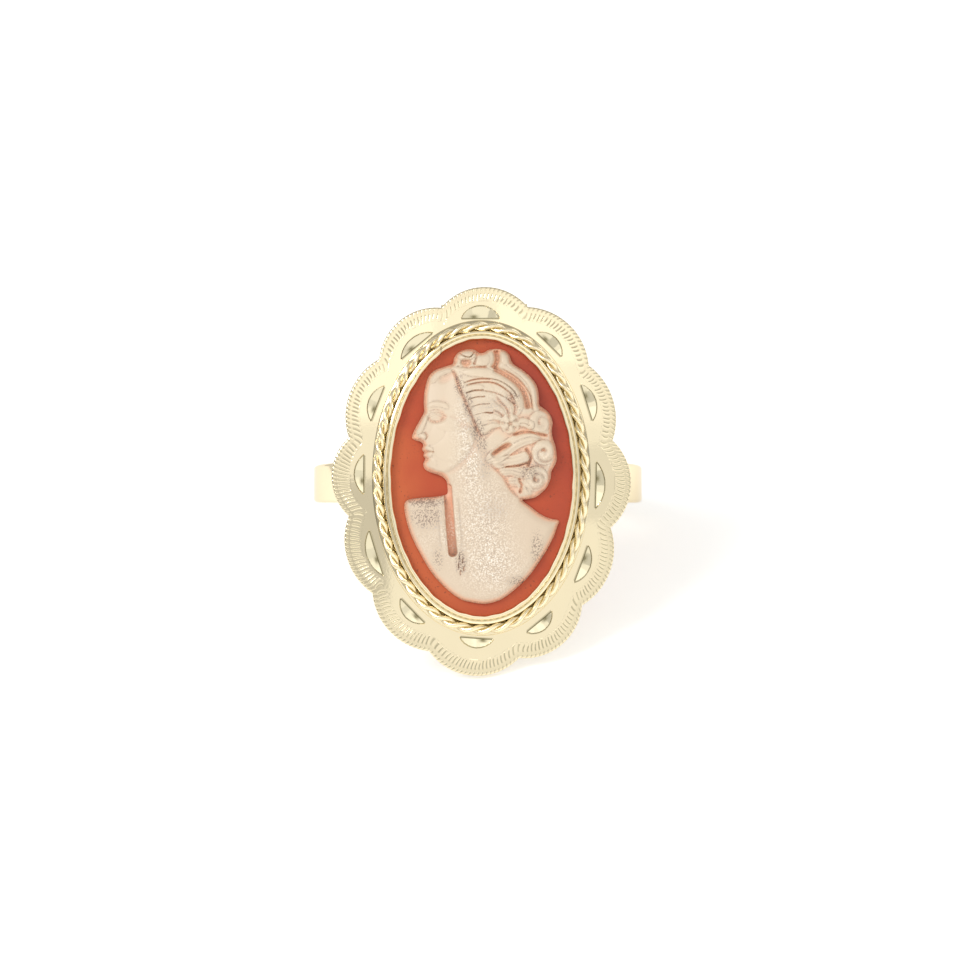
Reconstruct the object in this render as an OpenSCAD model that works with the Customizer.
/* [Finger and band] */
// Bore of the band, a lady's size
finger_d = 16.5; // [16:0.1:17]
// Wall of the band at its middle
band_t = 1.0; // [0.9:0.05:1.2]
// Width of the band where it meets the setting
band_w_head = 2.15; // [1.9:0.05:2.4]
// Width of the band at the back of the finger
band_w_back = 1.75; // [1.5:0.05:2.1]
// Radius of the crown across the band's outside
band_crown = 3; // [2:0.25:6]

/* [Cameo] */
// Width of the oval of stone that shows inside the bezel
stone_w = 9.5; // [9.2:0.1:9.8]
// Length of the oval of stone that shows inside the bezel
stone_l = 14.55; // [14.2:0.05:14.8]
// How far the stone reaches under the bezel's lip
stone_tuck = 0.21; // [0.15:0.01:0.3]
// Thickness of the orange-red layer
ground_t = 1.1; // [0.9:0.05:1.2]
// Height of the bust over the ground where it stands highest
bust_h = 1.15; // [0.8:0.05:1.3]

/* [Bezel and twisted wire] */
// Wall of the bezel
bezel_t = 0.22; // [0.2:0.01:0.3]
// Height of the bezel's lip over the ground
lip_h = 0.42; // [0.3:0.02:0.6]
// Width of the burnished inner edge of the bezel
lip_w = 0.24; // [0.15:0.01:0.3]
// Diameter of the twisted wire laid round the bezel
wire_d = 0.56; // [0.5:0.02:0.6]

/* [Scalloped border] */
// Radius of the dome that the border is raised to
dome_r = 80; // [70:5:120]
// Thickness of the border plate
plate_t = 0.6; // [0.5:0.05:0.7]
// Height of the plate over the finger's axis, at the middle of the dome
plate_z = 10.2; // [10.1:0.05:10.3]
// Length of a bright cut along its straight side
cut_l = 2.3; // [1.9:0.1:2.5]
// Width of a bright cut
cut_w = 0.55; // [0.4:0.05:0.6]
// Depth of a bright cut at its straight side
cut_depth = 0.2; // [0.1:0.02:0.26]

/* [Hidden] */
$fn = 96;
fine = 240;
gap = 0.04;
finger_r = finger_d / 2;
band_r = finger_r + band_t;

// Half sizes of the opening in the bezel, and how much the other ovals are grown from it
open_a = stone_w / 2;
open_b = stone_l / 2;
seat_grow = stone_tuck + gap;
bezel_grow = seat_grow + bezel_t;
ledge_grow = -0.24;
wire_grow = bezel_grow + wire_d - 0.04;
collar_grow = bezel_grow + wire_d + 0.06;
// The oval of the stone sits a little above the middle of the border
stone_shift = 0.15;

// Levels over the finger's axis
stone_z = 9.45;
ground_z = stone_z + ground_t;
lip_z = ground_z + lip_h;
lip_step = 0.14;
collar_z = plate_z - 0.2;
wire_top = collar_z + wire_d - 0.06;
gallery_r = finger_r + 0.3;

// Notches of the border, clockwise from the top, with the lobe that follows each:
// clock angle, reach of the notch, bulge of the lobe over the line to the next notch
SCALLOPS = [
    [15, 9.57, 0.85],
    [43, 8.38, 0.68],
    [73, 7.30, 1.03],
    [110, 7.31, 0.77],
    [141, 8.51, 0.91],
    [168, 9.62, 1.12],
    [197, 9.46, 0.76],
    [224, 8.31, 0.74],
    [255, 7.28, 0.92],
    [288, 7.39, 0.80],
    [320, 8.43, 0.88],
    [347, 9.44, 1.09],
];
lobes = len(SCALLOPS);
// Straight side of a bright cut, in from the line between the two notches
cut_in = 0.9;

// Left ends of the bust's rows, from its foot to the curls on the crown: place across, height up
LEFT_EDGE = [
    [0.00, -6.50], [-0.60, -6.42], [-1.10, -6.26], [-1.70, -5.87], [-2.38, -5.20], [-2.82, -4.60],
    [-3.28, -3.80], [-3.66, -3.05], [-3.93, -2.30], [-4.07, -1.60], [-4.04, -1.16], [-3.70, -0.98],
    [-2.90, -0.90], [-2.10, -0.82], [-1.84, -0.66], [-1.82, -0.36], [-1.88, -0.06], [-2.06, 0.16],
    [-2.50, 0.36], [-2.90, 0.52], [-3.09, 0.80], [-2.99, 1.10], [-3.08, 1.30], [-3.04, 1.47],
    [-3.15, 1.63], [-3.09, 1.84], [-3.20, 2.02], [-3.58, 2.15], [-3.67, 2.34], [-3.46, 2.80],
    [-3.20, 3.28], [-3.03, 3.62], [-3.05, 4.00], [-3.04, 4.50], [-2.95, 5.00], [-2.80, 5.44],
    [-2.48, 5.80], [-1.94, 6.00], [-1.54, 6.14], [-1.46, 6.44], [-1.26, 6.70], [-0.86, 6.88],
];
// Right ends of the same rows, up the shoulder, round the knot of hair and over the crown
RIGHT_EDGE = [
    [0.30, -6.50], [0.80, -6.40], [1.20, -6.20], [1.62, -5.87], [2.36, -5.20], [2.76, -4.70],
    [3.30, -3.90], [3.74, -3.10], [4.00, -2.42], [4.06, -2.12], [3.58, -1.99], [3.04, -1.74],
    [2.66, -1.44], [2.30, -1.16], [2.16, -1.02], [2.50, -1.00], [2.90, -0.86], [3.22, -0.60],
    [3.46, -0.30], [3.62, 0.10], [3.68, 0.44], [3.82, 0.74], [3.94, 1.04], [3.96, 1.32],
    [3.92, 1.60], [3.86, 1.86], [3.76, 2.16], [3.70, 2.44], [3.72, 2.68], [3.75, 3.02],
    [3.66, 3.40], [3.46, 3.70], [3.10, 3.94], [3.03, 4.40], [2.96, 4.86], [2.74, 5.28],
    [2.40, 5.62], [2.06, 5.88], [1.70, 6.08], [1.56, 6.32], [1.46, 6.62], [1.22, 6.84],
];
// Rounded masses of the bust: place across, height up, two half sizes, turn, share of bust_h
MASSES = [
    [0.10, -3.60, 4.60, 3.40, 0, 0.62],
    [-3.10, -2.60, 1.60, 2.40, 0, 0.50],
    [0.60, -1.60, 3.40, 1.60, -24, 0.58],
    [-0.30, -0.40, 2.10, 2.60, 12, 0.72],
    [-1.30, 2.60, 2.30, 2.90, 8, 0.82],
    [-2.10, 1.20, 1.35, 1.00, 20, 0.62],
    [-2.85, 2.75, 0.85, 1.10, -14, 0.42],
    [-2.10, 4.60, 1.30, 1.40, 10, 0.66],
    [0.40, 3.80, 2.55, 2.25, -10, 0.98],
    [2.00, 4.60, 1.10, 1.60, 34, 0.74],
    [-0.90, 6.30, 0.80, 0.72, 10, 0.62],
    [0.15, 6.20, 0.80, 0.66, 0, 0.56],
    [1.00, 6.25, 0.66, 0.78, 0, 0.64],
    [1.45, 3.00, 0.62, 0.62, 0, 1.00],
    [2.95, 3.10, 0.92, 0.78, 20, 0.78],
    [3.10, 1.55, 0.95, 0.95, 0, 0.80],
    [1.90, 1.75, 1.30, 0.66, 24, 0.88],
    [2.60, 0.20, 1.15, 0.95, -20, 0.70],
];
// Grooves cut in the bust: from, to, half width, share of bust_h
GROOVES = [
    [-1.76, -0.70, -1.56, -4.00, 0.24, 0.62],
    [1.50, -0.42, 2.95, -1.30, 0.22, 0.80],
    [-1.50, 5.70, -0.40, 3.20, 0.16, 0.22],
    [-1.10, 5.30, 0.70, 5.50, 0.12, 0.20],
    [0.70, 5.50, 2.10, 4.60, 0.12, 0.22],
    [2.10, 4.60, 2.55, 3.60, 0.12, 0.22],
    [0.95, 1.70, 2.00, 2.40, 0.16, 0.30],
    [-0.10, 2.20, 0.30, 1.30, 0.20, 0.14],
];
// Rows of the polyhedron for each row of the two tables, and its columns
row_steps = 2;
relief_rows = row_steps * (len(LEFT_EDGE) - 1);
relief_columns = 30;
relief_edge = 0.7;
relief_web = 0.04;

function clock(angle, reach) = [reach * sin(angle), reach * cos(angle)];
function notch(i) = clock(SCALLOPS[i % lobes][0], SCALLOPS[i % lobes][1]);
function lobe_line(i) = notch(i + 1) - notch(i);
function lobe_middle(i) = (notch(i + 1) + notch(i)) / 2;
function lobe_out(i) = let (d = lobe_line(i)) [-d[1], d[0]] / norm(d);
function lobe_r(i) =
    let (half = norm(lobe_line(i)) / 2, bulge = SCALLOPS[i][2])
    (half * half + bulge * bulge) / (2 * bulge);
function lobe_centre(i) = lobe_middle(i) + lobe_out(i) * (SCALLOPS[i][2] - lobe_r(i));
function dome_z(reach, r) = plate_z - dome_r + sqrt(r * r - reach * reach);

// Laid down, the ring stands on its lowest lobe and the back of the band. It rolls along the
// lobe until its mass is over the two: this is the turn of the face at which it stops
foot_lobe = 5;
rest_roll = -10.4;
function unit(v) = v / norm(v);
function rim_low(i, n) =
    let (c = lobe_centre(i), d = -unit([n[0] - n[2] * c[0] / dome_r, n[1] - n[2] * c[1] / dome_r]),
         p = c + lobe_r(i) * d)
    [p[0], p[1], dome_z(norm(p), dome_r - plate_t)];
function band_half(z) =
    (band_w_back + (band_w_head - band_w_back) * (z + band_r) / (2 * band_r)) / 2;
function band_low(n) =
    let (d = -unit([n[0], n[2]]), half = band_half(band_r * d[1]),
         r = band_r - band_crown + sqrt(band_crown * band_crown - half * half))
    [r * d[0], -half, r * d[1]];
// How far the face's outward direction leans from upright, once lobe and band both touch
function up_at(lean) = [sin(lean) * sin(rest_roll), sin(lean) * cos(rest_roll), cos(lean)];
function rest_lean(lean, turns) =
    turns == 0 ? lean :
    let (n = up_at(lean), d = rim_low(foot_lobe, n) - band_low(n))
    rest_lean(atan2(d[2], -d[0] * sin(rest_roll) - d[1] * cos(rest_roll)), turns - 1);
rest_back = rest_lean(64, 12);
rest_n = up_at(rest_back);
rest_z = -rest_n * band_low(rest_n);
// Centres the ring's outline over the origin
rest_x = 0;
rest_y = 2.3;

module oval(grow) {
    scale([(open_a + grow) / (open_b + grow), 1]) circle(open_b + grow, $fn = fine);
}

module oval_block(grow, low, high) {
    translate([0, stone_shift, low]) linear_extrude(high - low) oval(grow);
}

// Outline of the border: one round lobe between each two notches
module scalloped() {
    oval(1.3);
    for (i = [0 : lobes - 1])
        translate(lobe_centre(i)) circle(lobe_r(i));
}

module border() {
    difference() {
        intersection() {
            translate([0, 0, plate_z - 3]) linear_extrude(4) scalloped();
            translate([0, 0, plate_z - dome_r]) sphere(dome_r, $fn = fine);
        }
        translate([0, 0, plate_z - dome_r]) sphere(dome_r - plate_t, $fn = fine);
    }
}

// A half-moon: straight towards the stone, bowed outwards, deepest at the straight side
module bright_cut(i) {
    bow_r = (cut_l * cut_l / 4 + cut_w * cut_w) / (2 * cut_w);
    place = lobe_middle(i) - lobe_out(i) * cut_in;
    tip = place + lobe_out(i) * cut_w;
    fall = dome_z(norm(place), dome_r) - dome_z(norm(tip), dome_r);
    translate([place[0], place[1], dome_z(norm(place), dome_r) - cut_depth])
        rotate([0, 0, atan2(lobe_out(i)[1], lobe_out(i)[0])])
        intersection() {
            rotate([0, -atan((cut_depth - fall) / cut_w), 0])
                translate([-2, -2, 0]) cube([4, 4, 2]);
            translate([cut_w - bow_r, 0, -1]) cylinder(r = bow_r, h = 3);
            translate([0, -2, -1]) cube([2, 4, 3]);
        }
}

module band() {
    rotate([90, 0, 90]) intersection() {
        rotate([0, 90, 0]) rotate_extrude($fn = fine) band_section();
        linear_extrude(3 * band_r, center = true) polygon([
            [-band_half(-band_r - 1), -band_r - 1],
            [band_half(-band_r - 1), -band_r - 1],
            [band_half(band_r), band_r],
            [-band_half(band_r), band_r],
        ]);
    }
}

module band_section() {
    intersection() {
        translate([finger_r, -2]) square([2, 4]);
        translate([band_r - band_crown, 0]) circle(band_crown);
    }
}

module bezel() {
    oval_block(bezel_grow, 5.5, lip_z - lip_step);
    oval_block(lip_w, ground_z, lip_z);
    oval_block(collar_grow, plate_z - 0.5, collar_z);
}

// An oval ring that tapers from one grow to another over its height
module oval_taper(grow_low, grow_high, low, high) {
    wide = max(grow_low, grow_high);
    translate([0, stone_shift, low])
        scale([(open_a + wide) / (open_b + wide), 1, 1])
        cylinder(r1 = open_b + grow_low, r2 = open_b + grow_high, h = high - low, $fn = fine);
}

// The wire with its edges eased, let into the wall of the bezel
module wire() {
    ease = wire_d * 0.29;
    oval_taper(wire_grow - ease, wire_grow, collar_z - 0.02, collar_z + ease);
    oval_block(wire_grow, collar_z + ease, wire_top - ease);
    oval_taper(wire_grow, wire_grow - ease, wire_top - ease, wire_top);
}

module ring_mount() {
    color("gold") difference() {
        union() {
            border();
            band();
            bezel();
            wire();
        }
        oval_block(seat_grow, stone_z, ground_z + gap);
        oval_block(ledge_grow, 4, stone_z + 0.5);
        oval_block(0, ground_z, lip_z + 1);
        for (i = [0 : lobes - 1]) bright_cut(i);
        difference() {
            rotate([90, 0, 0]) cylinder(r = gallery_r, h = 30, center = true);
            band();
        }
    }
}

module cameo_ground() {
    color("orangered") oval_block(stone_tuck, stone_z, ground_z);
}

// Height of one rounded mass over the ground at p
function mass_h(p, m) =
    let (c = cos(m[4]), s = sin(m[4]), d = p - [m[0], m[1]],
         u = (c * d[0] + s * d[1]) / m[2], v = (c * d[1] - s * d[0]) / m[3])
    m[5] * sqrt(max(0, 1 - u * u - v * v));
// Depth of one groove at p
function groove_h(p, g) =
    let (a = [g[0], g[1]], d = [g[2], g[3]] - a, t = min(1, max(0, (p - a) * d / (d * d))),
         away = norm(p - a - t * d) / g[4])
    g[5] * exp(-away * away);
function sum(v, i = 0) = i < len(v) ? v[i] + sum(v, i + 1) : 0;
// The masses melt into each other, the grooves are cut after them, and the rim falls away
function relief_h(p, rim) =
    let (body = pow(sum([for (m = MASSES) pow(mass_h(p, m), 4)]), 0.25),
         cut = sum([for (g = GROOVES) groove_h(p, g)]),
         edge = sqrt(min(1, 0.12 + rim / relief_edge)))
    max(relief_web, bust_h * (body * edge - cut));

// End of a row, on the straight line between two entries of its table
function row_end(edge, j) =
    let (u = j / row_steps, k = min(floor(u), len(edge) - 2))
    edge[k] + (u - k) * (edge[k + 1] - edge[k]);

module cameo_relief() {
    wide = relief_columns + 1;
    // Points of the top, row by row from the foot, each row from its left end to its right
    top = [for (j = [0 : relief_rows])
        let (left = row_end(LEFT_EDGE, j), run = row_end(RIGHT_EDGE, j) - left)
        for (i = [0 : relief_columns])
            let (share = i / relief_columns, p = left + share * run)
            [p[0], p[1], relief_h(p, norm(run) * min(share, 1 - share))]];
    // Round the edge: along the foot, up the right, back along the crown and down the left
    rim = concat(
        [for (i = [0 : relief_columns]) i],
        [for (j = [1 : relief_rows]) j * wide + relief_columns],
        [for (i = [1 : relief_columns]) relief_rows * wide + relief_columns - i],
        [for (j = [1 : relief_rows - 1]) (relief_rows - j) * wide]);
    under = len(top);
    points = concat(top, [for (k = rim) [top[k][0], top[k][1], 0]]);
    // Ends of each row on the flat underside
    function left_end(j) = under + (len(rim) - j) % len(rim);
    function right_end(j) = under + relief_columns + j;
    faces = concat(
        [for (j = [0 : relief_rows - 1], i = [0 : relief_columns - 1])
            let (k = j * wide + i) each [[k, k + wide + 1, k + 1], [k, k + wide, k + wide + 1]]],
        [for (k = [0 : len(rim) - 1]) let (m = (k + 1) % len(rim))
            each [[rim[k], rim[m], under + m], [rim[k], under + m, under + k]]],
        [for (i = [0 : relief_columns - 1]) [under + i, under + i + 1, left_end(1)]],
        [[right_end(0), right_end(1), left_end(1)]],
        [for (j = [1 : relief_rows - 2])
            each [[left_end(j), right_end(j), right_end(j + 1)],
                  [left_end(j), right_end(j + 1), left_end(j + 1)]]],
        [[left_end(relief_rows - 1), right_end(relief_rows - 1), right_end(relief_rows)]],
        [for (i = [0 : relief_columns - 1])
            [left_end(relief_rows - 1), right_end(relief_rows) + i, right_end(relief_rows) + i + 1]]);
    color("linen") translate([0, 0, ground_z]) polyhedron(points, faces);
}

module at_rest() {
    translate([rest_x, rest_y, rest_z]) rotate([rest_back, 0, 0]) rotate([0, 0, rest_roll]) children();
}

at_rest() ring_mount();
at_rest() cameo_ground();
at_rest() cameo_relief();
